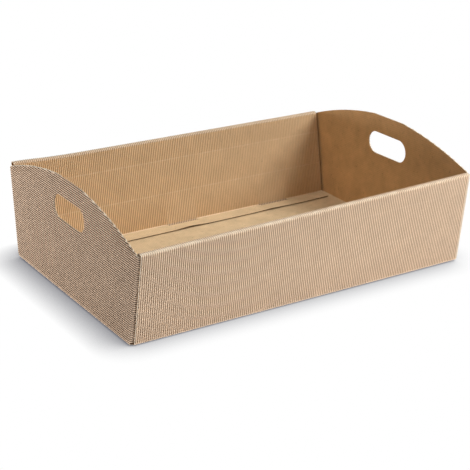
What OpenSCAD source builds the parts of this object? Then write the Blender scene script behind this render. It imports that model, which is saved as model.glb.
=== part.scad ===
// Folded tray of open-flute corrugated board: one blank, held by its own lock tabs.
// X runs along the long walls, Y across the tray, Z up. The origin is the middle of the underside.
// The smooth liner is the inside of the sheet, and the flutes stand on its outside.

/* [Tray] */
// Length over the two end panels
base_l = 420; // [320:1:560]
// Depth of the floor over the outer feet of the two long walls
base_d = 275; // [200:1:360]
// Height of the long walls
wall_h = 105; // [80:1:120]
// Outward lean of the long walls, in degrees
wall_lean = 7.5; // [4:0.5:12]

/* [End panels] */
// Height of the end panels at the middle of their arch
end_h = 132; // [125:1:160]
// Length of the level stretch at the middle of the arch
arch_flat = 56; // [30:1:90]
// Radius of the two curved shoulders of the arch
arch_r = 480; // [300:10:900]

/* [Hand holes] */
// Length of a hand hole
hole_l = 70; // [50:1:100]
// Height of a hand hole
hole_h = 27; // [20:1:34]
// Drop from the top of the arch to the middle of a hand hole
hole_drop = 35; // [30:1:50]

/* [Board] */
// Thickness of the board where it is creased flat, and of its liner under the flutes
sheet_t = 0.6; // [0.4:0.1:1]
// Height of the flutes on the liner
flute_h = 0.9; // [0.5:0.1:1.4]
// Distance from one flute to the next
flute_pitch = 2.4; // [2:0.1:4]
// Inside radius of a crease
crease_r = 0.6; // [0.4:0.1:1]
// Width of the flattened band beside a crease
crush_w = 2; // [1:0.5:4]

/* [Double walls] */
// Width of the rolled-over top of a long wall
roll_w = 6.5; // [5:0.1:9]
// Inside radius of the two bends of the rolled-over top
roll_r = 1.6; // [1:0.1:1.9]
// Distance from the outer foot of a long wall to its inner foot
foot_in = 9; // [7:0.5:14]
// Width of the flange that lies on the floor
flange_w = 22; // [16:1:60]
// Taper of each end of the flange
flange_taper = 4.5; // [1:0.5:8]

/* [Lock tabs] */
// Lock tabs on each long wall
tab_count = 3; // [1:1:3]
// Length of a lock tab
tab_l = 41; // [20:1:60]
// Distance from one lock tab to the next
tab_step = 131; // [90:1:140]
// Depth of the notch that a lock tab leaves in the flange
tab_notch = 5; // [3:0.5:8]

/* [Corner ears] */
// Length of the ears that the end panels tuck into the long walls
ear_l = 80; // [40:1:110]
// Height of an ear's lower edge
ear_lift = 4; // [3:0.5:12]

/* [Clearances] */
// Gap between two layers of board that lie on each other
lap_gap = 0.3; // [0.2:0.1:0.6]
// Gap between a long wall's raw ends and the end panels
wall_gap = 1.2; // [0.6:0.1:3]
// Gap around a lock tab in its floor slot
slot_gap = 0.4; // [0.2:0.1:0.8]

/* [Hidden] */
kraft = [0.78, 0.66, 0.5];
$fn = 64;

// Height of the valleys between the flutes, and sink of the fluted layer into the liner
valley_h = 0.1;
sink = sheet_t / 2;
// Bare strip along a raw edge that runs with the flutes
raw_band = 0.6;
// Width of the flat crests of the flutes under the floor, on which the tray stands
crest_w = 0.4;
// Overrun of a shape past the face that it cuts or joins
over = 1;
// Flat steps around a bend
bend_steps = 6;
// Depth by which a lock tab is thinned on each face
tab_skin = 0.05;

board_t = sheet_t + flute_h;
crease_out = crease_r + sheet_t;

// Inside faces of the end panels, and the length of a long wall between them
end_in = base_l / 2 - board_t;
wall_l = 2 * (end_in - wall_gap);

// Points below are [y, z] in the section of the wall at +Y
wall_up = [sin(wall_lean), cos(wall_lean)];
wall_out = [cos(wall_lean), -sin(wall_lean)];
outer_foot = [base_d / 2, 0] - board_t * wall_out;

// Point on the inside of the outer panel at a given height
function outer_in(z) = outer_foot + (z - outer_foot[1]) / cos(wall_lean) * wall_up;

// Bottom crease, from the floor up into the outer panel
bottom_tangent = crease_r * tan((90 - wall_lean) / 2);
bottom_corner = outer_in(board_t);
bottom_c = bottom_corner + [-bottom_tangent, crease_r];
outer_start = bottom_corner + bottom_tangent * wall_up;

// The two bends of the rolled-over top
roll_z = wall_h - sheet_t;
roll_tangent = roll_r * tan((90 + wall_lean) / 2);
roll_corner = outer_in(roll_z);
roll_c1 = roll_corner - [roll_tangent, roll_r];
roll_c2 = roll_c1 - [roll_w - 2 * (roll_r + sheet_t), 0];
outer_end = roll_corner - roll_tangent * wall_up;
outer_l = norm(outer_end - outer_start);

// Inner panel, from the second bend down to its foot on the floor
flange_z = board_t + lap_gap;
inner_foot = [base_d / 2 - foot_in, flange_z];
inner_span = roll_c2 - inner_foot;
inner_lean = atan2(inner_span[0], inner_span[1]) - asin(roll_r / norm(inner_span));
inner_up = [sin(inner_lean), cos(inner_lean)];
inner_face = [-cos(inner_lean), sin(inner_lean)];
inner_top = roll_c2 + roll_r * inner_face;

// Crease at the foot of the inner panel, where the flange turns onto the floor
foot_tangent = crease_out * tan((90 - inner_lean) / 2);
foot_c = inner_foot + [-foot_tangent, crease_out];
inner_end = inner_foot + foot_tangent * inner_up;
inner_l = norm(inner_top - inner_end);
flange_front = inner_foot[0] - flange_w;

// Floor slots of the lock tabs
slot_back = inner_foot[0] + slot_gap;
slot_front = inner_foot[0] - flange_z * tan(inner_lean) - sheet_t / cos(inner_lean) - slot_gap;

// Half the width of an end panel at a given height: to the outside of its ears, and to its side creases
function ear_half(z) = outer_in(z)[0] - lap_gap / cos(wall_lean);
function end_half(z) = ear_half(z) - (board_t + crease_r) / cos(wall_lean);
ear_top = roll_c1[1] - lap_gap;
end_foot = board_t + crease_r;
hole_z = end_h - hole_drop;

// Circle of an arch shoulder, through the end of the level stretch and the panel's top corner
shoulder_a = [arch_flat / 2, end_h];
shoulder_b = [ear_half(ear_top), ear_top];
shoulder_chord = shoulder_b - shoulder_a;
shoulder_side = [shoulder_chord[1], -shoulder_chord[0]] / norm(shoulder_chord);
shoulder_depth = sqrt(arch_r * arch_r - pow(norm(shoulder_chord) / 2, 2));
shoulder_c = (shoulder_a + shoulder_b) / 2 + shoulder_depth * shoulder_side;

// Points on an arc around a centre, from one angle to another
function arc(centre, r, from, to) =
    [for (i = [0:bend_steps]) let (a = from + (to - from) * i / bend_steps) centre + r * [cos(a), sin(a)]];
// A list of points in the opposite order
function reversed(points) = [for (i = [len(points) - 1:-1:0]) points[i]];

// Section of a creased sheet between the points of its inside and those of its outside
module sheet(inside, outside) {
    polygon(concat(inside, reversed(outside)));
}

// Solid along X from a section in [y, z], and along Y from a section in [x, z], each about the middle
module along_x(length) {
    rotate([90, 0, 90]) linear_extrude(height = length, center = true) children();
}
module along_y(length) {
    rotate([90, 0, 0]) linear_extrude(height = length, center = true) children();
}

// Fluted layer: flutes side by side along X, standing up in Y and running along Z, its foot in the liner
module flutes(width, length) {
    count = floor(width / flute_pitch);
    start = -count * flute_pitch / 2;
    ridges = [for (i = [0:2 * count]) [start + i * flute_pitch / 2, i % 2 == 0 ? valley_h : flute_h]];
    linear_extrude(height = length)
        polygon(concat([[start, -sink]], ridges, [[-start, -sink]]));
}

// One side of a long wall's section: from the floor over the rolled top and down to the flange's front edge
function wall_side(lift) = concat(
    [[bottom_c[0] - crush_w - over, board_t - lift]],
    arc(bottom_c, crease_r + lift, -90, -wall_lean),
    arc(roll_c1, roll_r + lift, -wall_lean, 90),
    arc(roll_c2, roll_r + lift, 90, 180 - inner_lean),
    arc(foot_c, crease_out - lift, -inner_lean, -90),
    [[flange_front, flange_z + lift]]
);

// Its children once at each lock tab of a long wall
module each_tab() {
    for (i = [0:tab_count - 1])
        translate([(i - (tab_count - 1) / 2) * tab_step, 0, 0]) children();
}

// Outline of the flange in plan, with tapered ends
module flange_plan() {
    half = wall_l / 2;
    back = outer_end[0] + board_t + over;
    polygon([
        [-half - over, back],
        [half + over, back],
        [half + over, inner_foot[0]],
        [half, inner_foot[0]],
        [half - flange_taper, flange_front],
        [half - flange_taper, flange_front - over],
        [flange_taper - half, flange_front - over],
        [flange_taper - half, flange_front],
        [-half, inner_foot[0]],
        [-half - over, inner_foot[0]]
    ]);
}

// Room of a lock tab: the crease at the panel's foot, and its notch in the flange
module tab_room() {
    low = board_t + lap_gap / 2;
    high = inner_end[1] + sheet_t;
    translate([-tab_l / 2, inner_foot[0] - tab_notch, low]) cube([tab_l, tab_notch + over, high - low]);
}

// Lock tab: the inner panel carried straight on into its floor slot
module tab() {
    drop = (inner_end[1] - lap_gap) / cos(inner_lean);
    inside = inner_end + tab_skin * inner_face;
    outside = inner_end + (sheet_t - tab_skin) * inner_face;
    along_x(tab_l - 2 * slot_gap) sheet(
        [inside + crush_w * inner_up, inside - drop * inner_up],
        [outside + crush_w * inner_up, outside - drop * inner_up]
    );
}

// Floor slot of a lock tab
module slot() {
    translate([-tab_l / 2, slot_front, -over]) cube([tab_l, slot_back - slot_front, board_t + 2 * over]);
}

// Long wall at +Y: outer panel, rolled top, inner panel, flange and lock tabs
module long_wall() {
    band = wall_l - 2 * raw_band;
    flange_run = foot_c[0] - crush_w - flange_front;
    difference() {
        intersection() {
            union() {
                along_x(wall_l) sheet(wall_side(0), wall_side(sheet_t));
                translate([-band / 2, flange_front + raw_band, flange_z + sheet_t - sink])
                    cube([band, flange_run - raw_band, sink + flute_h]);
            }
            linear_extrude(height = 2 * wall_h, center = true) flange_plan();
        }
        each_tab() tab_room();
    }
    each_tab() tab();
    translate([0, outer_start[0], outer_start[1]]) rotate([-wall_lean, 0, 0])
        translate([0, sheet_t, crush_w]) flutes(band, outer_l - 2 * crush_w);
    translate([0, inner_end[0], inner_end[1]]) rotate([-inner_lean, 0, 0]) mirror([0, 1, 0])
        translate([0, sheet_t, crush_w]) flutes(band, inner_l - 2 * crush_w);
}

// Outline of an end panel in [y, z]: leaning sides under an arch with a level middle
module end_outline() {
    foot_half = end_half(end_foot);
    top_half = end_half(end_h);
    intersection() {
        polygon([[-foot_half, end_foot], [foot_half, end_foot], [top_half, end_h], [-top_half, end_h]]);
        translate(shoulder_c) circle(r = arch_r);
        mirror([1, 0]) translate(shoulder_c) circle(r = arch_r);
    }
}

// Field of the flutes of an end panel in [y, z], held back from its creases
module end_field() {
    low = end_foot + crush_w;
    high = end_h + over;
    low_half = end_half(low) - crush_w;
    high_half = end_half(high) - crush_w;
    polygon([[-low_half, low], [low_half, low], [high_half, high], [-high_half, high]]);
}

// Hand hole in [y, z]: a slot with round ends
module hand_hole() {
    reach = (hole_l - hole_h) / 2;
    translate([0, hole_z]) {
        square([2 * reach, hole_h], center = true);
        for (side = [-1, 1]) translate([side * reach, 0]) circle(d = hole_h);
    }
}

// Arched end panel at +X, with its flutes lying level on its outside
module end_panel() {
    span = 2 * end_half(end_h);
    rise = 2 * (end_h + flute_pitch);
    deep = 4 * board_t;
    intersection() {
        union() {
            translate([end_in, -span / 2, 0]) cube([sheet_t, span, end_h + over]);
            intersection() {
                translate([end_in + sheet_t, -span / 2, 0]) rotate([-90, -90, 0]) flutes(rise, span);
                translate([end_in, 0, 0]) along_x(deep) end_field();
            }
        }
        translate([end_in, 0, 0]) along_x(deep) difference() {
            end_outline();
            hand_hole();
        }
    }
}

// Crease at the foot of the end panel at +X, from the floor up into the panel
module end_crease() {
    centre = [end_in - crease_r, end_foot];
    start = centre[0] - crush_w - over;
    top = end_foot + crush_w;
    along_y(2 * (bottom_c[0] - crush_w - over - lap_gap)) sheet(
        concat([[start, board_t]], arc(centre, crease_r, -90, 0), [[end_in, top]]),
        concat([[start, board_t - sheet_t]], arc(centre, crease_out, -90, 0), [[end_in + sheet_t, top]])
    );
}

// Ear of the end panel at +X, with its side crease, inside the wall at +Y
module ear() {
    centre = [end_in - crease_r, -board_t - crease_r];
    side = centre[1] - crush_w;
    tip = centre[0] - ear_l;
    full = centre[0] - crush_w;
    outside_end = [[full, -flute_h], [full, 0], [tip, 0]];
    low = ear_lift / cos(wall_lean);
    high = ear_top / cos(wall_lean);
    translate([0, ear_half(0), 0]) rotate([-wall_lean, 0, 0]) translate([0, 0, low])
        linear_extrude(height = high - low) sheet(
            concat([[end_in, side]], arc(centre, crease_r, 0, 90), [[tip, -board_t]]),
            concat([[end_in + sheet_t, side]], arc(centre, crease_out, 0, 90), outside_end)
        );
}

// Grooves between the flutes under the floor, side by side along X, with a crest at the middle
module floor_grooves(width, length) {
    depth = flute_h - valley_h;
    half = (flute_pitch - crest_w) / 2;
    spread = crest_w / 4;
    dip = depth * spread / half;
    pairs = floor(width / flute_pitch / 2);
    end = pairs * flute_pitch;
    teeth = [
        for (i = [-pairs:pairs - 1]) let (x = (i + 0.5) * flute_pitch)
            each [[x - half - spread, -dip], [x, depth], [x + half + spread, -dip]]
    ];
    along_y(length) polygon(concat([[-end, -over]], teeth, [[end, -over]]));
}

// Floor, with a slot at each lock tab and its flutes held back from the slots
module floor_panel() {
    size_x = 2 * (end_in - crease_r - crush_w);
    size_y = 2 * (bottom_c[0] - crush_w);
    difference() {
        translate([-size_x / 2, -size_y / 2, 0]) cube([size_x, size_y, board_t]);
        for (turn = [0, 180]) rotate([0, 0, turn]) each_tab() slot();
        floor_grooves(size_x - 2 * raw_band, 2 * (slot_front - crush_w));
    }
}

// The whole folded tray
module tray() {
    color(kraft) union() {
        floor_panel();
        for (turn = [0, 180]) rotate([0, 0, turn]) {
            long_wall();
            end_panel();
            end_crease();
            ear();
            mirror([0, 1, 0]) ear();
        }
    }
}

tray();
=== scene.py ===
"""Looks of a folded tray of open-flute kraft board: its two papers, their finishes, and a plain studio."""
import math
from collections import namedtuple

import bmesh
import bpy
from mathutils import Matrix, Vector


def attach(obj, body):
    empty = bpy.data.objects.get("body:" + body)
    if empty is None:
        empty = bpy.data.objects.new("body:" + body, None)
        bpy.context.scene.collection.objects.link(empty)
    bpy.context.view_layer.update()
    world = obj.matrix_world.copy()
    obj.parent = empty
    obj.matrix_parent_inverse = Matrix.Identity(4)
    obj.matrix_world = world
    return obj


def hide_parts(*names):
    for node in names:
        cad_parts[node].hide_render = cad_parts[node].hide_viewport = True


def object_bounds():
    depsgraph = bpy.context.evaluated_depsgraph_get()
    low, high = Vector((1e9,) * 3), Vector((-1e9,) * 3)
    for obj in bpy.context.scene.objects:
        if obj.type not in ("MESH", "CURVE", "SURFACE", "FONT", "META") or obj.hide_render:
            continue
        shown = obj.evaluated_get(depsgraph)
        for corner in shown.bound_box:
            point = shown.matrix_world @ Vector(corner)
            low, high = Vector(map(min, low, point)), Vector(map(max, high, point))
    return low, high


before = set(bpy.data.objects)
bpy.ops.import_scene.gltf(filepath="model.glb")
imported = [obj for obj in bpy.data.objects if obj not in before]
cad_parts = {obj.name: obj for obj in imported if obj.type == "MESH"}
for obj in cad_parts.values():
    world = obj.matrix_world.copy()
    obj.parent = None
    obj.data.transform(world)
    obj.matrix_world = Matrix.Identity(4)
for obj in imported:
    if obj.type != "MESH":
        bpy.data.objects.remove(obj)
cad_low, cad_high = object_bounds()

MM = 0.001
QUARTER = math.pi / 2

# Sizes of the folded blank, as in the part except for wall_gap, between the long walls and the ends
base_l = cad_high.x - cad_low.x
end_h = cad_high.z
base_d = 275 * MM
wall_h = 105 * MM
wall_lean = math.radians(7.5)
arch_flat = 56 * MM
arch_r = 480 * MM
hole_l = 70 * MM
hole_h = 27 * MM
hole_drop = 35 * MM
flute_h = 0.9 * MM
flute_pitch = 2.4 * MM
crease_r = 0.6 * MM
crush_w = 2 * MM
roll_w = 6.5 * MM
roll_r = 1.6 * MM
foot_in = 9 * MM
flange_w = 22 * MM
flange_taper = 4.5 * MM
tab_l = 41 * MM
tab_notch = 5 * MM
tab_pitch = 131 * MM
ear_l = 80 * MM
ear_lift = 4 * MM
lap_gap = 0.3 * MM
wall_gap = 2.2 * MM
slot_gap = 0.4 * MM
end_crease_in = 1.5 * MM

# The two papers of the board, and the middle of each as a distance from the board's smooth face
liner_t = 0.35 * MM
fluting_t = 0.25 * MM
sheet_t = liner_t + fluting_t
board_t = sheet_t + flute_h
liner_mid = liner_t / 2
fluting_mid = liner_t + fluting_t / 2

# State of the board: how high its flutes stand, which also sets the painted shade in their valleys, and how
# pale it is: rubbed paper and, on the rolled top, partly a painted highlight
State = namedtuple("State", "flute pale")
full = State(1, 0)
flat = State(0, 0)
bottom_crease = State(0.3, 0.1)
# The rolled top is pale partly as a painted highlight where it faces the light from above, and partly as
# whitened, rubbed paper
roll_edge = State(0.8, 0.65)
roll_back = State(0.85, 0.05)
inner_flutes = State(0.9, 0)
foot_crease = State(0.2, 0.1)
side_crease = State(0.7, 0)
outer_press = State(0.95, 0.04)
inner_press = State(0.75, 0.12)
fade_w = 0.8 * MM

# Heights at which the flutes of the two panels of a long wall are pressed, and how far to each side
outer_pressed = (45 * MM, 85 * MM)
inner_pressed = (40 * MM, 80 * MM)
press_w = 1.2 * MM

# Fineness of the meshes
columns_per_flute = 6
plain_columns = 84
bend_steps = 5
flange_steps = 4
shoulder_steps = 24
hole_steps = 48
sharp_angle = math.radians(70)
touch = 0.1 * MM
merge_gap = 0.01 * MM
cut_spare = 1 * MM

# Columns of an end panel as shares of the hole's half length, and rows of the floor as shares of its depth
hole_columns = (2, 1.3, 1.02, 0.9, 0.78, 0.65, 0.52)
floor_shares = (0.9, 0.75, 0.5)

# Points of the fold, as [y, z] in the section of the long wall at +Y
wall_up = Vector((math.sin(wall_lean), math.cos(wall_lean)))
wall_out = Vector((math.cos(wall_lean), -math.sin(wall_lean)))
outer_foot = Vector((base_d / 2, 0)) - board_t * wall_out


def outer_in(z):
    """Point on the smooth side of the outer panel at a height."""
    return outer_foot + (z - outer_foot.y) / math.cos(wall_lean) * wall_up


end_in = base_l / 2 - board_t
wall_l = 2 * (end_in - wall_gap)
crease_out = crease_r + sheet_t
bottom_tangent = crease_r * math.tan((QUARTER - wall_lean) / 2)
bottom_c = outer_in(board_t) + Vector((-bottom_tangent, crease_r))
roll_tangent = roll_r * math.tan((QUARTER + wall_lean) / 2)
roll_c1 = outer_in(wall_h - sheet_t) - Vector((roll_tangent, roll_r))
roll_c2 = roll_c1 - Vector((roll_w - 2 * (roll_r + sheet_t), 0))
flange_z = board_t + lap_gap
inner_foot = Vector((base_d / 2 - foot_in, flange_z))
inner_span = roll_c2 - inner_foot
inner_lean = math.atan2(inner_span.x, inner_span.y) - math.asin(roll_r / inner_span.length)
inner_up = Vector((math.sin(inner_lean), math.cos(inner_lean)))
inner_face = Vector((-math.cos(inner_lean), math.sin(inner_lean)))
foot_tangent = crease_out * math.tan((QUARTER - inner_lean) / 2)
foot_c = inner_foot + Vector((-foot_tangent, crease_out))
inner_end = inner_foot + foot_tangent * inner_up
flange_front = inner_foot.x - flange_w
notch_front = inner_foot.x - tab_notch
tab_places = [i * tab_pitch for i in (-1, 0, 1)]
floor_x = end_in - crease_r
floor_y = bottom_c.x - crush_w
floor_bend_y = floor_y - end_crease_in
slot_back = inner_foot.x + slot_gap
slot_front = inner_foot.x - flange_z * math.tan(inner_lean) - board_t / math.cos(inner_lean) - slot_gap
end_foot = board_t + crease_r
hole_z = end_h - hole_drop
ear_side = outer_in(0).x - lap_gap / math.cos(wall_lean)
ear_top = roll_c1.y - lap_gap
shoulder_a = Vector((arch_flat / 2, end_h))
shoulder_b = Vector((outer_in(ear_top).x - lap_gap / math.cos(wall_lean), ear_top))
shoulder = shoulder_b - shoulder_a
shoulder_aside = Vector((shoulder.y, -shoulder.x)) / shoulder.length
arch_sink = math.sqrt(arch_r**2 - shoulder.length**2 / 4)
arch_centre = (shoulder_a + shoulder_b) / 2 + arch_sink * shoulder_aside

# A stop on a section: its place, how high the flutes stand there, and how pale the board is there: rubbed
# paper and, on the rolled top, partly a painted highlight
Stop = namedtuple("Stop", "at flute pale")


def bend(centre, radius, start, end, first, last):
    """Stops around a crease between two angles, as the board's state goes from a first to a last one."""
    stops = []
    for i in range(bend_steps + 1):
        share = i / bend_steps
        turn = start + (end - start) * share
        state = [a + (b - a) * share for a, b in zip(first, last)]
        stops.append(Stop(centre + radius * Vector((math.cos(turn), math.sin(turn))), *state))
    return stops


def panel(start, end, state, pressed, press):
    """Stops of a fluted panel between two creases, with its flutes pressed at some heights."""
    run = end - start
    fade = fade_w / run.length
    half = press_w / run.length
    stops = [(fade, *state), (1 - fade, *state)]
    for height in pressed:
        share = (height - start.y) / run.y
        stops += [(share - half, *state), (share, *press), (share + half, *state)]
    return [Stop(start + share * run, flute, pale) for share, flute, pale in sorted(stops)]


def wall_section(lift):
    """Section of a long wall: floor edge, outer panel, rolled top, inner panel, and flange on the floor."""
    bottom = bend(bottom_c, crease_r + lift, -QUARTER, -wall_lean, bottom_crease, bottom_crease)
    roll_up = bend(roll_c1, roll_r + lift, -wall_lean, QUARTER, full, roll_edge)
    roll_down = bend(roll_c2, roll_r + lift, QUARTER, math.pi - inner_lean, roll_back, inner_flutes)
    foot = bend(foot_c, crease_out - lift, -inner_lean, -QUARTER, foot_crease, flat)
    outer = panel(bottom[-1].at, roll_up[0].at, full, outer_pressed, outer_press)
    inner = panel(roll_down[-1].at, foot[0].at, inner_flutes, inner_pressed, inner_press)
    floor_edge = Stop(Vector((floor_y, board_t - lift)), *full)
    flange_rows = [foot_c.x - crush_w]
    for i in range(flange_steps + 1):
        flange_rows.append(notch_front + (flange_front - notch_front) * i / flange_steps)
    flange = [Stop(Vector((y, flange_z + lift)), *flat) for y in flange_rows]
    return [floor_edge, *bottom, *outer, *roll_up, *roll_down, *inner, *foot, *flange]


def end_section(lift):
    """Plan of an end panel at the table's level, from the tip of one ear to the tip of the other."""
    centre = Vector((end_in - crease_r, ear_side - board_t - crease_r))
    ear_y = ear_side - board_t + lift
    half = [
        Stop(Vector((centre.x - ear_l, ear_y)), *full),
        Stop(Vector((centre.x - fade_w, ear_y)), *full),
        *bend(centre, crease_r + lift, QUARTER, 0, side_crease, side_crease),
        Stop(Vector((end_in + lift, centre.y - fade_w)), *full),
        *(Stop(Vector((end_in + lift, share * hole_l / 2)), *full) for share in hole_columns),
    ]
    return half + [Stop(Vector((s.at.x, -s.at.y)), s.flute, s.pale) for s in reversed(half)]


# Sheets of paper, and what their points note: the flutes' height, how pale they are, and the place across

notes = ("flute", "pale", "across")


def new_sheet():
    """Empty sheet of paper."""
    bm = bmesh.new()
    for name in notes:
        bm.verts.layers.float.new(name)
    return bm


def sweep(bm, section, place, way, count):
    """Carries a section along a straight way, in a number of even strips. place puts a stop in the frame."""
    flute = bm.verts.layers.float["flute"]
    pale = bm.verts.layers.float["pale"]
    verts = []
    for stop in section:
        vert = bm.verts.new(place(stop.at))
        vert[flute] = stop.flute
        vert[pale] = stop.pale
        verts.append(vert)
    edges = [bm.edges.new(pair) for pair in zip(verts, verts[1:])]
    bmesh.ops.spin(bm, geom=verts + edges, axis=(0, 0, 1), cent=(0, 0, 0), dvec=way, angle=0, steps=1)
    starts = set(verts)
    lengths = [edge for edge in bm.edges if len(starts.intersection(edge.verts)) == 1]
    if count > 1:
        bmesh.ops.subdivide_edges(bm, edges=lengths, cuts=count - 1, use_grid_fill=True)


def cut_away(bm, unwanted):
    """Deletes the faces whose middle is unwanted."""
    faces = [face for face in bm.faces if unwanted(face.calc_center_median())]
    bmesh.ops.delete(bm, geom=faces, context="FACES")


def turn_round(bm, side):
    """Turns a sheet or a cutter about the tray's middle."""
    bmesh.ops.rotate(bm, verts=bm.verts[:], cent=(0, 0, 0), matrix=Matrix.Rotation(side, 3, "Z"))


def mark_across(bm, axis):
    """Notes each point's place across the flutes, counted in flutes."""
    across = bm.verts.layers.float["across"]
    for vert in bm.verts:
        vert[across] = vert.co[axis] / flute_pitch


def raise_flutes(bm, outward):
    """Lifts the fluting off the liner in waves, on the side that faces outward at the outermost point."""
    flute = bm.verts.layers.float["flute"]
    across = bm.verts.layers.float["across"]
    bm.normal_update()
    fluted = [vert for vert in bm.verts if vert[flute] == 1]
    outermost = max(fluted, key=lambda vert: vert.co.dot(outward))
    if outermost.normal.dot(outward) < 0:
        bmesh.ops.reverse_faces(bm, faces=bm.faces[:])
        bm.normal_update()
    lifts = []
    for vert in bm.verts:
        wave = (1 + math.cos(2 * math.pi * vert[across])) / 2
        lifts.append(vert.normal * (flute_h * vert[flute] * wave))
    for vert, lift in zip(bm.verts, lifts):
        vert.co += lift


def carry_to_corners(bm):
    """Keeps the points' notes on the faces' corners, where a cut blends them."""
    layers = [(bm.verts.layers.float[name], bm.loops.layers.float.new("board_" + name)) for name in notes]
    for face in bm.faces:
        for loop in face.loops:
            for on_vert, on_loop in layers:
                loop[on_loop] = loop.vert[on_vert]
    for name in notes:
        bm.verts.layers.float.remove(bm.verts.layers.float[name])


# How far the top of the tray is twisted, and how far its edges and two of its corners stand off the table
top_twist = 2.0 * MM
edge_lift = 0.8 * MM
edge_lift_power = 6
corner_lift = 0.4 * MM

# How far the left end's foot stands out, and how far its top leans in at the front and at the back
left_foot_out = 2 * MM
left_lean_front = 6 * MM
left_lean_back = 2 * MM

# How far the left end of the front wall's top sinks
front_sink = 1.6 * MM

# How far the front wall draws away from the left end at its foot, and closes up to it at its top
front_foot_gap = 1.2 * MM
front_top_shut = 1.4 * MM

# How far the left end of the back wall's roll stands up, over what length, and how closely to its top
roll_lift = 2.2 * MM
roll_lift_reach = 40 * MM
roll_lift_power = 4


def settle(mesh):
    """Gives a finished mesh the slight twist, bowed floor and leaning left end of a tray folded by hand."""
    for vert in mesh.vertices:
        along = vert.co.x / end_in
        across = vert.co.y / (base_d / 2)
        rise = vert.co.z / wall_h
        share = -along * across
        bow = min(1, max(abs(along), abs(across))) ** edge_lift_power
        left = max(0, -along)
        lean = left_lean_back + (left_lean_front - left_lean_back) * (1 - across) / 2
        sink = front_sink * max(0, -across) * (1 - along) / 2
        vert.co.x += left * (lean * rise - left_foot_out)
        vert.co.z += (top_twist * share - sink) * rise + edge_lift * bow + corner_lift * max(0, share) ** 2


def part_front_corner(mesh):
    """Leaves a gap that narrows upward between the front wall and the left end."""
    for vert in mesh.vertices:
        left = max(0, -vert.co.x / end_in)
        rise = vert.co.z / wall_h
        vert.co.x += left * (front_foot_gap * (1 - rise) - front_top_shut * rise)


def lift_back_corner(mesh):
    """Lifts the left end of the back wall's roll, so that its open end shows above the end panel."""
    for vert in mesh.vertices:
        near = math.exp(-(((vert.co.x + wall_l / 2) / roll_lift_reach) ** 2))
        vert.co.z += roll_lift * near * (vert.co.z / wall_h) ** roll_lift_power


def note_places(mesh):
    """Keeps each point's place in the true tray on the mesh, before the tray settles."""
    places = mesh.attributes.new("board_place", "FLOAT_VECTOR", "POINT")
    for note, vert in zip(places.data, mesh.vertices):
        note.vector = vert.co


# Places of the flange's and the inner panel's finish in a piece's list, each with its cut edge after it, in
# painted shade for the open flute tunnels
flange_finish = 2
inner_finish = 4


def make_piece(name, bm, thickness, finish, cutters=(), ease=None):
    """One paper of a panel: given its thickness, cut to its outline and finished, and set on the tray."""
    carry_to_corners(bm)
    mesh = bpy.data.meshes.new(name)
    bm.to_mesh(mesh)
    bm.free()
    # Finishes in order: the piece's own, its raw cut edge, the flange's lit copy of the floor liner, its cut
    # edge in painted tunnel shade, the inner panel's copy of the fluted paper, and its cut edge in painted
    # tunnel shade
    for layer in (finish, raw_edge, floor_kraft, shaded_open_edge, inner_kraft, shaded_open_edge):
        mesh.materials.append(layer)
    piece = bpy.data.objects.new(name, mesh)
    bpy.context.scene.collection.objects.link(piece)
    paper = piece.modifiers.new("paper", "SOLIDIFY")
    paper.thickness = thickness
    paper.offset = 0
    paper.material_offset_rim = 1
    for cutter, operation in cutters:
        cut = piece.modifiers.new("cut", "BOOLEAN")
        cut.object = cutter
        cut.operation = operation
        cut.solver = "EXACT"
        cut.material_mode = "TRANSFER"
    done = piece.evaluated_get(bpy.context.evaluated_depsgraph_get())
    piece.data = bpy.data.meshes.new_from_object(done)
    piece.modifiers.clear()
    bpy.data.meshes.remove(mesh)
    piece.data.name = name
    note_places(piece.data)
    if ease:
        ease(piece.data)
    settle(piece.data)
    piece.data.shade_smooth()
    piece.data.set_sharp_from_angle(angle=sharp_angle)
    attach(piece, "root")
    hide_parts("tray")
    return piece


# Long walls

# How far the flange's front edge stands off the floor, and each rise along it as its place, spread and height
flange_lift = 0.7 * MM
flange_rises = ((0, 16 * MM, 1.6 * MM), (118 * MM, 18 * MM, 0.8 * MM))


def flange_rise(x):
    """How far the flange's front edge stands off the floor at a place along it."""
    return flange_lift + sum(rise * math.exp(-((x - at) / spread) ** 2) for at, spread, rise in flange_rises)


def at_tab(x):
    """Whether a place along a long wall is at one of its lock tabs."""
    return any(abs(x - middle) < tab_l / 2 for middle in tab_places)


def in_notch(middle):
    """Whether a face's middle is in the room that a lock tab leaves at the foot of the inner panel."""
    low = middle.z < inner_end.y and notch_front < middle.y < inner_foot.x
    return low and middle.z > flange_z and at_tab(middle.x)


def on_flange(middle):
    """Whether a point lies on the flange."""
    return middle.y < foot_c.x and flange_z < middle.z < flange_z + board_t


def on_inner_panel(middle):
    """Whether a point lies on the inner panel of a long wall, below its roll."""
    return inner_end.y < middle.z < roll_c2.y and middle.y < outer_in(middle.z).x - roll_w / 2


def trim_flange(bm):
    """Tapers the flange's two ends."""
    for side in (-1, 1):
        flange = [face for face in bm.faces if on_flange(face.calc_center_median())]
        parts = {part for face in flange for part in (face, *face.edges, *face.verts)}
        bmesh.ops.bisect_plane(
            bm,
            geom=list(parts),
            plane_co=(side * wall_l / 2, inner_foot.x, 0),
            plane_no=(side * flange_w, -flange_taper, 0),
            clear_outer=True,
        )


def add_tabs(bm, lift, columns):
    """Lock tabs: the inner panel carried straight on into the floor's slots, with its flutes."""
    flute = bm.verts.layers.float["flute"]
    top = inner_end + lift * inner_face
    for vert in bm.verts:
        if at_tab(vert.co.x) and (vert.co.yz - top).length < touch:
            vert[flute] = inner_flutes.flute
    drop = (inner_end.y - lap_gap) / math.cos(inner_lean)
    section = [Stop(top, *inner_flutes), Stop(top - drop * inner_up, *inner_flutes)]
    length = tab_l - 2 * slot_gap
    for middle in tab_places:
        sweep(
            bm,
            section,
            lambda at: Vector((middle - length / 2, at.x, at.y)),
            (length, 0, 0),
            round(columns * length / wall_l),
        )


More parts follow.
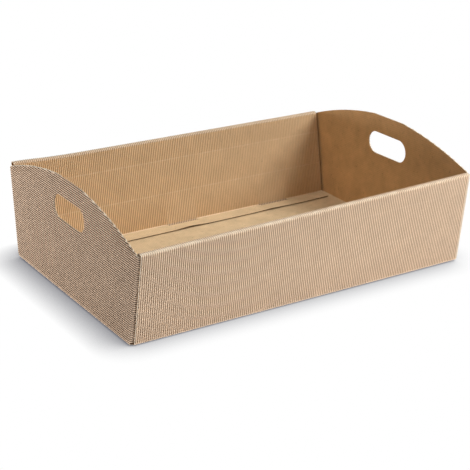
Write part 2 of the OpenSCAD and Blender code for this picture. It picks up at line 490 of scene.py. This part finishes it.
def wall_sheet(lift, columns):
    """One paper of the long wall at +Y, with its notches and lock tabs."""
    bm = new_sheet()
    sweep(
        bm,
        wall_section(lift),
        lambda at: Vector((-wall_l / 2, at.x, at.y)),
        (wall_l, 0, 0),
        columns,
    )
    cut_away(bm, in_notch)
    trim_flange(bm)
    for face in bm.faces:
        middle = face.calc_center_median()
        if on_flange(middle):
            face.material_index = flange_finish
        elif on_inner_panel(middle):
            face.material_index = inner_finish
    for vert in bm.verts:
        if on_flange(vert.co):
            vert.co.z += flange_rise(vert.co.x) * ((foot_c.x - vert.co.y) / flange_w) ** 2
    add_tabs(bm, lift, columns)
    return bm


# Ends


def end_sheet(lift, rows):
    """One paper of the end panel at +X with its two ears, before it is cut to its outline."""
    bm = new_sheet()
    rise = end_h + cut_spare - end_foot
    sweep(
        bm,
        end_section(lift),
        lambda at: Vector((at.x, at.y, end_foot)),
        (0, 0, rise),
        rows,
    )
    flute = bm.verts.layers.float["flute"]
    side = ear_side - board_t - crease_r
    cut_away(bm, lambda middle: middle.z < ear_lift and abs(middle.y) > side)
    for vert in bm.verts:
        vert[flute] *= min(1, (vert.co.z - end_foot) / crush_w)
        share = max(-1, min(1, vert.co.y / side))
        vert.co.y += share * math.tan(wall_lean) * vert.co.z
    return bm


def new_cutter(name, bm, side):
    """Hidden shape that cuts an end panel: an outline in Y and Z, carried along X past the ears."""
    length = 2 * ear_l
    start = end_in - 0.75 * length
    faces = bmesh.ops.extrude_face_region(bm, geom=bm.faces[:])["geom"]
    moved = [part for part in faces if isinstance(part, bmesh.types.BMVert)]
    bmesh.ops.translate(bm, verts=moved, vec=(length, 0, 0))
    bmesh.ops.translate(bm, verts=bm.verts[:], vec=(start, 0, 0))
    bmesh.ops.recalc_face_normals(bm, faces=bm.faces[:])
    turn_round(bm, side)
    mesh = bpy.data.meshes.new(name)
    bm.to_mesh(mesh)
    bm.free()
    mesh.materials.append(raw_edge)
    cutter = bpy.data.objects.new(name, mesh)
    bpy.context.scene.collection.objects.link(cutter)
    return cutter


def arch_cutter(side):
    """Everything under the arch of an end panel."""
    bm = bmesh.new()
    turn = 2 * math.asin(shoulder.length / 2 / arch_r)
    low = Vector((0, base_d, -cut_spare))
    middle = bm.verts.new((0, 0, end_h))
    start = bm.verts.new((0, *shoulder_a))
    bm.edges.new((middle, start))
    spun = bmesh.ops.spin(
        bm, geom=[start], axis=(-1, 0, 0), cent=(0, *arch_centre), angle=turn, steps=shoulder_steps
    )["geom_last"]
    tip = next(part for part in spun if isinstance(part, bmesh.types.BMVert))
    outline = [tip]
    for point in ((0, low.y, ear_top), low, (0, 0, low.z)):
        outline.append(bm.verts.new(point))
    for pair in zip(outline, outline[1:]):
        bm.edges.new(pair)
    bmesh.ops.mirror(bm, geom=bm.verts[:] + bm.edges[:], axis="Y", merge_dist=merge_gap)
    bmesh.ops.remove_doubles(bm, verts=bm.verts[:], dist=merge_gap)
    bmesh.ops.contextual_create(bm, geom=bm.edges[:])
    return new_cutter("under_arch", bm, side)


def hole_cutter(side):
    """Hand hole: a slot with round ends."""
    bm = bmesh.new()
    bmesh.ops.create_circle(bm, cap_ends=True, radius=hole_h / 2, segments=hole_steps)
    bmesh.ops.rotate(bm, verts=bm.verts[:], cent=(0, 0, 0), matrix=Matrix.Rotation(QUARTER, 3, "Y"))
    reach = (hole_l - hole_h) / 2
    for vert in bm.verts:
        vert.co.y += math.copysign(reach, vert.co.y)
        vert.co.z += hole_z
    return new_cutter("hand_hole", bm, side)


# Floor


def floor_sheet(lift, columns):
    """One paper of the floor, with its slots and the creases that turn up into the end panels."""
    bm = new_sheet()
    rows = (floor_bend_y, slot_back, slot_front, *(share * slot_front for share in floor_shares))
    depths = [-floor_y, *(-y for y in rows), *reversed(rows), floor_y]
    sweep(
        bm,
        [Stop(Vector((y, board_t - lift)), *full) for y in depths],
        lambda at: Vector((-floor_x, at.x, at.y)),
        (2 * floor_x, 0, 0),
        columns,
    )
    flute = bm.verts.layers.float["flute"]
    for vert in bm.verts:
        vert[flute] = min(1, (floor_x - abs(vert.co.x)) / crush_w)
    cut_away(
        bm,
        lambda middle: slot_front < abs(middle.y) < slot_back and at_tab(middle.x),
    )
    for side in (-1, 1):
        end_x = side * floor_x
        edge_verts = [v for v in bm.verts if abs(v.co.x - end_x) < touch and abs(v.co.y) < floor_y]
        edges = [e for e in bm.edges if all(v in edge_verts for v in e.verts)]
        bmesh.ops.spin(
            bm,
            geom=edge_verts + edges,
            axis=(0, 1, 0),
            cent=(end_x, 0, end_foot),
            angle=-side * QUARTER,
            steps=bend_steps,
        )
    return bm


# Finishes

# Colours of the fluted paper on its crests and of the painted shade in its valleys, and the depths where that
# painted shade starts and ends; the inside copy is tinted yellower for the warm light inside the tray, and
# the ends have deeper painted shade and lighter crests
wall_crest_colour = (0.83, 0.63, 0.435, 1)
wall_valley_shade_colour = (0.30, 0.195, 0.115, 1)
inner_warm_lit_crest_colour = (0.82, 0.585, 0.345, 1)
inner_valley_shade_colour = (0.34, 0.21, 0.108, 1)
wall_valley_shade_edges = (0.0, 1.0)
end_crest_colour = (0.88, 0.66, 0.46, 1)
end_valley_shade_colour = (0.06, 0.03, 0.016, 1)
end_valley_shade_edges = (0.27, 0.67)

# How far the painted shade in the valleys inside the long walls evens out, between which places along X, and
# to what depth
inner_fade = 0.75
fade_span = (-20 * MM, 170 * MM)
faded_depth = 0.5

# Pale paper, rubbed and, on the rolled top, partly a painted highlight; and its strips: rubbed paper along
# the arch, and a painted highlight on frayed, paler paper along the long walls' cut ends, there counted in
# flutes
rubbed_and_lit_colour = (0.86, 0.76, 0.60, 1)
arch_rub_w = 0.6 * MM
arch_rub_fade = 0.4 * MM
cut_highlight_flutes = (0.45, 0.25)

# Wear patches on the pale creases, whose paleness on the rolled top is partly a painted highlight: fineness
# and contrast of its patches, its level, its slope along X, and its most
wear_scale = 110.0
wear_detail = 3.0
wear_contrast = 3.0
wear_level = -0.7
wear_slope = -2.0
wear_most = 1.3

# Colours of the smooth paper with the faint lines of its flutes, in a deeper orange copy for where it stands
# in shade inside the ends and a paler copy for the lit floor, of its cut edges, and of the painted shade in
# the open tunnels
shaded_liner_colour = (0.66, 0.42, 0.205, 1)
shaded_liner_line_colour = (0.615, 0.38, 0.175, 1)
lit_floor_colour = (0.645, 0.485, 0.295, 1)
lit_floor_line_colour = (0.60, 0.44, 0.255, 1)
edge_colour = (0.82, 0.68, 0.50, 1)
tunnel_shade_colour = (0.16, 0.11, 0.07, 1)

# Surfaces of the papers: how rough they are, how strongly mottled, and how clearly their fibres show
Surface = namedtuple("Surface", "roughness mottle fibres")
fluting_surface = Surface(0.8, 0.25, 0.5)
liner_surface = Surface(0.78, 0.55, 0.9)
edge_surface = Surface(0.9, 0.2, 0.3)
liner_ridges = 0.5
paper_sheen = 0.25

# Kraft pulp: fineness of its clouds, grain and fibres, and how strong they are
pulp_roughness = 0.6
cloud_scale = 55.0
cloud_detail = 4.0
grain_scale = 1500.0
grain_detail = 3.0
grain_tone = 0.25
grain_bump = 0.35
grain_height = 0.1 * MM
fibre_scale = 420.0
fibre_detail = 2.0
fibre_twist = 1.5
fibre_level = 0.68
fibre_tone = 0.62


def feed(tree, socket, value):
    """Links a socket to another one, or sets its value."""
    if isinstance(value, bpy.types.NodeSocket):
        tree.links.new(value, socket)
    else:
        socket.default_value = value


def new_node(tree, kind, **inputs):
    """New node with its inputs fed by name."""
    node = tree.nodes.new(kind)
    for name, value in inputs.items():
        feed(tree, node.inputs[name.replace("_", " ")], value)
    return node


def math_node(tree, operation, *values):
    """Result of a sum on numbers or sockets."""
    node = tree.nodes.new("ShaderNodeMath")
    node.operation = operation
    for socket, value in zip(node.inputs, values):
        feed(tree, socket, value)
    return node.outputs[0]


def mix_colours(tree, share, first, second):
    """Blend of two colours by a share."""
    node = tree.nodes.new("ShaderNodeMix")
    node.data_type = "RGBA"
    for name, value in (("Factor_Float", share), ("A_Color", first), ("B_Color", second)):
        feed(tree, next(s for s in node.inputs if s.identifier == name), value)
    return next(s for s in node.outputs if s.identifier == "Result_Color")


def scale_colour(tree, colour, factor):
    """A colour made lighter or darker by a factor."""
    node = tree.nodes.new("ShaderNodeVectorMath")
    node.operation = "SCALE"
    feed(tree, node.inputs[0], colour)
    feed(tree, node.inputs["Scale"], factor)
    return node.outputs[0]


def ramp(tree, value, low, high):
    """Smooth step of a value from 0 at one level to 1 at another."""
    node = new_node(tree, "ShaderNodeMapRange", Value=value, From_Min=low, From_Max=high)
    node.interpolation_type = "SMOOTHSTEP"
    return node.outputs["Result"]


def noise(tree, place, scale, detail, **inputs):
    """Value of a soft noise at a place."""
    node = new_node(tree, "ShaderNodeTexNoise", Vector=place, Scale=scale, Detail=detail, **inputs)
    return node.outputs["Fac"]


def board_note(tree, name):
    """Value of one of the board's notes on the mesh."""
    node = tree.nodes.new("ShaderNodeAttribute")
    node.attribute_name = "board_" + name
    return node.outputs["Fac"]


def new_group(name, colours_in, values_in, colours_out, values_out):
    """New node group with named inputs and outputs, as its tree, what it is given and what it puts out."""
    tree = bpy.data.node_groups.new(name, "ShaderNodeTree")
    for way, kind, names in (
        ("INPUT", "NodeSocketColor", colours_in),
        ("INPUT", "NodeSocketFloat", values_in),
        ("OUTPUT", "NodeSocketColor", colours_out),
        ("OUTPUT", "NodeSocketFloat", values_out),
    ):
        for socket_name in names:
            tree.interface.new_socket(socket_name, in_out=way, socket_type=kind)
    given = tree.nodes.new("NodeGroupInput")
    put_out = tree.nodes.new("NodeGroupOutput")
    return tree, given.outputs, put_out.inputs


def place_group(tree, group, **inputs):
    """Places a node group in a tree, with its inputs fed by name."""
    node = tree.nodes.new("ShaderNodeGroup")
    node.node_tree = group
    for name, value in inputs.items():
        feed(tree, node.inputs[name], value)
    return node.outputs


def make_pulp():
    """Kraft pulp: mottled tone, fine grain and a few dark fibres, with the grain as a height."""
    tree, given, put_out = new_group("kraft_pulp", ["Paper"], ["Mottle", "Fibres"], ["Color"], ["Grain"])
    place = tree.nodes.new("ShaderNodeTexCoord").outputs["Object"]
    cloud = noise(tree, place, cloud_scale, cloud_detail, Roughness=pulp_roughness)
    grain = noise(tree, place, grain_scale, grain_detail, Roughness=pulp_roughness)
    fibre = noise(tree, place, fibre_scale, fibre_detail, Distortion=fibre_twist)
    cloud_share = math_node(tree, "SUBTRACT", cloud, 0.5)
    grain_share = math_node(tree, "SUBTRACT", grain, 0.5)
    mottle = math_node(tree, "MULTIPLY", cloud_share, given["Mottle"])
    mottle = math_node(tree, "ADD", mottle, math_node(tree, "MULTIPLY", grain_share, grain_tone))
    paper = scale_colour(tree, given["Paper"], math_node(tree, "ADD", mottle, 1.0))
    dark = scale_colour(tree, paper, fibre_tone)
    speck = math_node(tree, "GREATER_THAN", fibre, fibre_level)
    speck = math_node(tree, "MULTIPLY", speck, given["Fibres"])
    feed(tree, put_out["Color"], mix_colours(tree, speck, paper, dark))
    feed(tree, put_out["Grain"], grain)
    return tree


def make_flute_wave():
    """Height of the flutes under a point, from 0 in a valley to 1 on a crest."""
    tree, given, put_out = new_group("flute_wave", [], [], [], ["Wave"])
    turn = math_node(tree, "MULTIPLY", board_note(tree, "across"), 2 * math.pi)
    feed(tree, put_out["Wave"], math_node(tree, "MULTIPLY_ADD", math_node(tree, "COSINE", turn), 0.5, 0.5))
    return tree


def make_fluted_paper():
    """Fluted side: paper colour on the crests, painted shade in the valleys that may even out to the right,
    pale creases that are rubbed paper and, on the rolled top, partly a painted highlight, and a strip.
    """
    tree, given, put_out = new_group(
        "fluted_paper", ["Crest", "Valley"], ["Start", "End", "Fade", "Strip"], ["Color"], []
    )
    wave = place_group(tree, flute_wave)["Wave"]
    depth = ramp(tree, math_node(tree, "SUBTRACT", 1.0, wave), given["Start"], given["End"])
    place = tree.nodes.new("ShaderNodeTexCoord").outputs["Object"]
    along = new_node(tree, "ShaderNodeSeparateXYZ", Vector=place).outputs["X"]
    fading = math_node(tree, "MULTIPLY", ramp(tree, along, *fade_span), given["Fade"])
    kept = math_node(tree, "MULTIPLY", depth, math_node(tree, "SUBTRACT", 1.0, fading))
    shade = math_node(tree, "MULTIPLY_ADD", fading, faded_depth, kept)
    # Painted shade in the flute valleys, as deep as the flutes stand
    valley_shade = math_node(tree, "MULTIPLY", shade, board_note(tree, "flute"))
    fluted = mix_colours(tree, valley_shade, given["Crest"], given["Valley"])
    patches = noise(tree, place, wear_scale, wear_detail)
    left_wear = math_node(tree, "MULTIPLY_ADD", along, wear_slope, wear_level)
    wear = math_node(tree, "MULTIPLY_ADD", patches, wear_contrast, left_wear)
    wear = math_node(tree, "MINIMUM", wear, wear_most)
    # Pale creases, rubbed paper and on the rolled top partly a painted highlight, with the strip over them
    rubbed_and_lit = math_node(tree, "MULTIPLY", board_note(tree, "pale"), wear)
    rubbed_and_lit = math_node(tree, "MAXIMUM", rubbed_and_lit, given["Strip"])
    feed(tree, put_out["Color"], mix_colours(tree, rubbed_and_lit, fluted, rubbed_and_lit_colour))
    return tree


def near_arch(tree):
    """Mask of a narrow strip along the cut edge of an end panel's arch."""
    place = tree.nodes.new("ShaderNodeAttribute")
    place.attribute_name = "board_place"
    parts = new_node(tree, "ShaderNodeSeparateXYZ", Vector=place.outputs["Vector"])
    aside = math_node(tree, "ABSOLUTE", parts.outputs["Y"])
    past = math_node(tree, "MAXIMUM", math_node(tree, "SUBTRACT", aside, arch_centre.x), 0.0)
    up = math_node(tree, "SUBTRACT", parts.outputs["Z"], arch_centre.y)
    squares = [math_node(tree, "POWER", leg, 2.0) for leg in (past, up)]
    reach = math_node(tree, "SQRT", math_node(tree, "ADD", *squares))
    edge = arch_r - arch_rub_w
    return ramp(tree, reach, edge - arch_rub_fade, edge)


def near_cut_highlight(tree):
    """Mask of a narrow strip along the two cut ends of a long wall: a painted highlight where the cut edge
    catches the light, on frayed, paler paper.
    """
    half = wall_l / 2 / flute_pitch
    aside = math_node(tree, "ABSOLUTE", board_note(tree, "across"))
    return ramp(tree, aside, *(half - flutes for flutes in cut_highlight_flutes))


def no_strip(tree):
    """Mask of no strip at all."""
    return 0.0


def new_finish(name, surface):
    """Empty matt finish, as its material, its tree and its shader."""
    finish = bpy.data.materials.new(name)
    finish.use_nodes = True
    shader = finish.node_tree.nodes["Principled BSDF"]
    shader.inputs["Roughness"].default_value = surface.roughness
    shader.inputs["Specular IOR Level"].default_value = paper_sheen
    return finish, finish.node_tree, shader


def add_pulp(tree, shader, paper, surface, ridges=None):
    """Puts the pulp's colour and grain on a shader, over ridges if there are any."""
    pulp = place_group(tree, kraft_pulp, Paper=paper, Mottle=surface.mottle, Fibres=surface.fibres)
    height = pulp["Grain"]
    if ridges is not None:
        height = math_node(tree, "ADD", height, ridges)
    bump = new_node(tree, "ShaderNodeBump", Strength=grain_bump, Distance=grain_height, Height=height)
    feed(tree, shader.inputs["Base Color"], pulp["Color"])
    feed(tree, shader.inputs["Normal"], bump.outputs["Normal"])


def make_fluting_finish(name, crest_colour, valley_shade_colour, valley_shade_edges, strip, fade=0.0):
    """Fluted side of a panel, with painted shade in its flute valleys and a pale strip along its cut edges as
    given.
    """
    finish, tree, shader = new_finish(name, fluting_surface)
    start, end = valley_shade_edges
    paper = place_group(
        tree,
        fluted_paper,
        Crest=crest_colour,
        Valley=valley_shade_colour,
        Start=start,
        End=end,
        Fade=fade,
        Strip=strip(tree),
    )
    add_pulp(tree, shader, paper["Color"], fluting_surface)
    return finish


def make_liner_finish(name, colour, line_colour):
    """Smooth side: brown kraft with the faint lines of the flutes behind it."""
    finish, tree, shader = new_finish(name, liner_surface)
    wave = place_group(tree, flute_wave)["Wave"]
    paper = mix_colours(tree, wave, line_colour, colour)
    add_pulp(tree, shader, paper, liner_surface, ridges=math_node(tree, "MULTIPLY", wave, liner_ridges))
    return finish


def make_edge_finish(name, colour):
    """Cut edge of the papers in a given colour: raw paper, or the painted shade of open flute tunnels."""
    finish, tree, shader = new_finish(name, edge_surface)
    add_pulp(tree, shader, colour, edge_surface)
    return finish


kraft_pulp = make_pulp()
flute_wave = make_flute_wave()
fluted_paper = make_fluted_paper()
fluted_kraft = make_fluting_finish(
    "fluted_kraft", wall_crest_colour, wall_valley_shade_colour, wall_valley_shade_edges, near_cut_highlight
)
# The ends' level flutes get deeper painted shade in their valleys, with lighter crests
end_kraft = make_fluting_finish(
    "fluted_kraft_end", end_crest_colour, end_valley_shade_colour, end_valley_shade_edges, near_arch
)
# Inside of the long walls: the same fluted paper, tinted yellower for the warm light that bounces inside the
# tray, with painted shade in its valleys that evens out to the right
inner_kraft = make_fluting_finish(
    "fluted_kraft_inside", inner_warm_lit_crest_colour, inner_valley_shade_colour, wall_valley_shade_edges, no_strip, inner_fade
)
# The same liner paper in two copies: deeper orange where it stands in shade inside the ends, and paler on the
# lit floor and flange
liner_kraft = make_liner_finish("liner_kraft", shaded_liner_colour, shaded_liner_line_colour)
floor_kraft = make_liner_finish("liner_kraft_floor", lit_floor_colour, lit_floor_line_colour)
raw_edge = make_edge_finish("raw_edge", edge_colour)
# Painted shade of the open flute tunnels on the cut edges of the flange and the inner panels
shaded_open_edge = make_edge_finish("shaded_open_edge", tunnel_shade_colour)


# The pieces, paper by paper

long_columns = round(wall_l / flute_pitch * columns_per_flute)
end_rows = round((end_h - end_foot) / flute_pitch * columns_per_flute)
floor_columns = round(2 * floor_x / flute_pitch * columns_per_flute)

for name, side, ease in (("back", 0, lift_back_corner), ("front", math.pi, part_front_corner)):
    fluting = wall_sheet(fluting_mid, long_columns)
    mark_across(fluting, 0)
    raise_flutes(fluting, Vector((0, 1, 0)))
    turn_round(fluting, side)
    make_piece(name + "_wall_fluting", fluting, fluting_t, fluted_kraft, ease=ease)
    liner = wall_sheet(liner_mid, plain_columns)
    mark_across(liner, 0)
    turn_round(liner, side)
    make_piece(name + "_wall_liner", liner, liner_t, liner_kraft, ease=ease)

for name, side in (("right", 0), ("left", math.pi)):
    under_arch = arch_cutter(side)
    hand_hole = hole_cutter(side)
    cutters = ((under_arch, "INTERSECT"), (hand_hole, "DIFFERENCE"))
    fluting = end_sheet(fluting_mid, end_rows)
    mark_across(fluting, 2)
    raise_flutes(fluting, Vector((1, 0, 0)))
    turn_round(fluting, side)
    make_piece(name + "_end_fluting", fluting, fluting_t, end_kraft, cutters)
    liner = end_sheet(liner_mid, plain_columns)
    mark_across(liner, 2)
    turn_round(liner, side)
    make_piece(name + "_end_liner", liner, liner_t, liner_kraft, cutters)
    bpy.data.objects.remove(under_arch)
    bpy.data.objects.remove(hand_hole)

floor_fluting = floor_sheet(fluting_mid, floor_columns)
mark_across(floor_fluting, 0)
raise_flutes(floor_fluting, Vector((0, 0, -1)))
make_piece("floor_fluting", floor_fluting, fluting_t, fluted_kraft)
floor_liner = floor_sheet(liner_mid, plain_columns)
mark_across(floor_liner, 0)
make_piece("floor_liner", floor_liner, liner_t, floor_kraft)


# Camera at the photograph's viewing angle

camera_yaw = math.radians(31.88)
camera_pitch = math.radians(21.89)
camera_aim = Vector((-33.8, -47.9, 52.5)) * MM
camera_distance = 1522.1 * MM
camera_lens = 107.14
camera_sensor = 36

forward = Vector(
    (
        math.sin(camera_yaw) * math.cos(camera_pitch),
        math.cos(camera_yaw) * math.cos(camera_pitch),
        -math.sin(camera_pitch),
    )
)
camera_data = bpy.data.cameras.new("camera")
camera_data.lens = camera_lens
camera_data.sensor_width = camera_sensor
camera = bpy.data.objects.new("camera", camera_data)
camera.location = camera_aim - forward * camera_distance
camera.rotation_euler = forward.to_track_quat("-Z", "Y").to_euler()
bpy.context.scene.collection.objects.link(camera)
bpy.context.scene.camera = camera


# Studio: a plain white table, four soft lamps and an even white surround

white = (1, 1, 1, 1)
surround_strength = 0.035
table_size = 8.0
table_colour = (0.85, 0.86, 0.92, 1)

# The tray's close shadow on the table: its colour, reach and depth, and the way that it leans from the key
table_shade = (0.02, 0.02, 0.05, 1)
contact_reach = 40 * MM
contact_depth = 1.15
contact_lean = Vector((0.5, -0.5, 1.0)).normalized()

Lamp = namedtuple("Lamp", "name place aim power colour width height")
lamps = [
    Lamp(
        "key",
        place=Vector((1.0, -0.8, 1.25)),
        aim=Vector((0, 0, 0.05)),
        power=30,
        colour=(0.97, 1.0, 1.02),
        width=0.8,
        height=0.8,
    ),
    Lamp(
        "overhead",
        place=Vector((-0.5, -0.2, 1.7)),
        aim=Vector((0, 0, 0)),
        power=10,
        colour=(1.04, 0.98, 0.95),
        width=1.0,
        height=1.0,
    ),
    Lamp(
        "left_strip",
        place=Vector((-0.8, 0.45, 0.06)),
        aim=Vector((-0.21, 0, 0.06)),
        power=2.65,
        colour=(1.02, 0.98, 0.99),
        width=0.5,
        height=0.1,
    ),
    Lamp(
        "front_strip",
        place=Vector((0.3, -0.95, 0.06)),
        aim=Vector((0, -0.14, 0.06)),
        power=2.5,
        colour=(1.0, 0.98, 1.02),
        width=0.5,
        height=0.1,
    ),
]


def add_lamp(lamp):
    """Flat lamp with a soft light, out of the camera's sight."""
    light = bpy.data.lights.new(lamp.name, "AREA")
    light.shape = "RECTANGLE"
    light.size = lamp.width
    light.size_y = lamp.height
    light.energy = lamp.power
    light.color = lamp.colour
    holder = bpy.data.objects.new(lamp.name, light)
    holder.location = lamp.place
    holder.rotation_euler = (lamp.aim - lamp.place).to_track_quat("-Z", "Y").to_euler()
    holder.visible_camera = False
    bpy.context.scene.collection.objects.link(holder)


def show_to_camera(tree, shown, plain, surface):
    """Gives a surface one shader to the camera, also by a mirror or glass, and another to the light."""
    path = tree.nodes.new("ShaderNodeLightPath")
    mirror = math_node(tree, "MAXIMUM", path.outputs["Is Glossy Ray"], path.outputs["Is Transmission Ray"])
    seen = math_node(tree, "MAXIMUM", path.outputs["Is Camera Ray"], mirror)
    choice = new_node(tree, "ShaderNodeMixShader", Fac=seen)
    tree.links.new(plain.outputs[0], choice.inputs[1])
    tree.links.new(shown.outputs[0], choice.inputs[2])
    tree.links.new(choice.outputs[0], surface)


def set_surround():
    """White surround: full white to the camera, and a plain level of light on the tray."""
    world = bpy.data.worlds.new("surround")
    world.use_nodes = True
    tree = world.node_tree
    plain = tree.nodes["Background"]
    plain.inputs["Color"].default_value = white
    plain.inputs["Strength"].default_value = surround_strength
    shown = new_node(tree, "ShaderNodeBackground", Color=white, Strength=1.0)
    show_to_camera(tree, shown, plain, tree.nodes["World Output"].inputs["Surface"])
    bpy.context.scene.world = world


def make_table():
    """White table top: the camera sees it as plain white, with the tray's close shadow on it."""
    bm = bmesh.new()
    bmesh.ops.create_grid(bm, x_segments=1, y_segments=1, size=table_size / 2)
    mesh = bpy.data.meshes.new("table")
    bm.to_mesh(mesh)
    bm.free()
    finish = bpy.data.materials.new("white_table")
    finish.use_nodes = True
    tree = finish.node_tree
    tree.nodes.remove(tree.nodes["Principled BSDF"])
    plain = new_node(tree, "ShaderNodeBsdfDiffuse", Color=table_colour)
    lean = new_node(tree, "ShaderNodeCombineXYZ", X=contact_lean.x, Y=contact_lean.y, Z=contact_lean.z)
    near = new_node(tree, "ShaderNodeAmbientOcclusion", Distance=contact_reach, Normal=lean.outputs[0])
    contact = math_node(tree, "POWER", near.outputs["AO"], contact_depth)
    tone = mix_colours(tree, contact, table_shade, white)
    shown = new_node(tree, "ShaderNodeEmission", Color=tone)
    show_to_camera(tree, shown, plain, tree.nodes["Material Output"].inputs["Surface"])
    mesh.materials.append(finish)
    table = bpy.data.objects.new("table", mesh)
    bpy.context.scene.collection.objects.link(table)


for lamp in lamps:
    add_lamp(lamp)
set_surround()
make_table()
bpy.context.scene.view_settings.view_transform = "Standard"
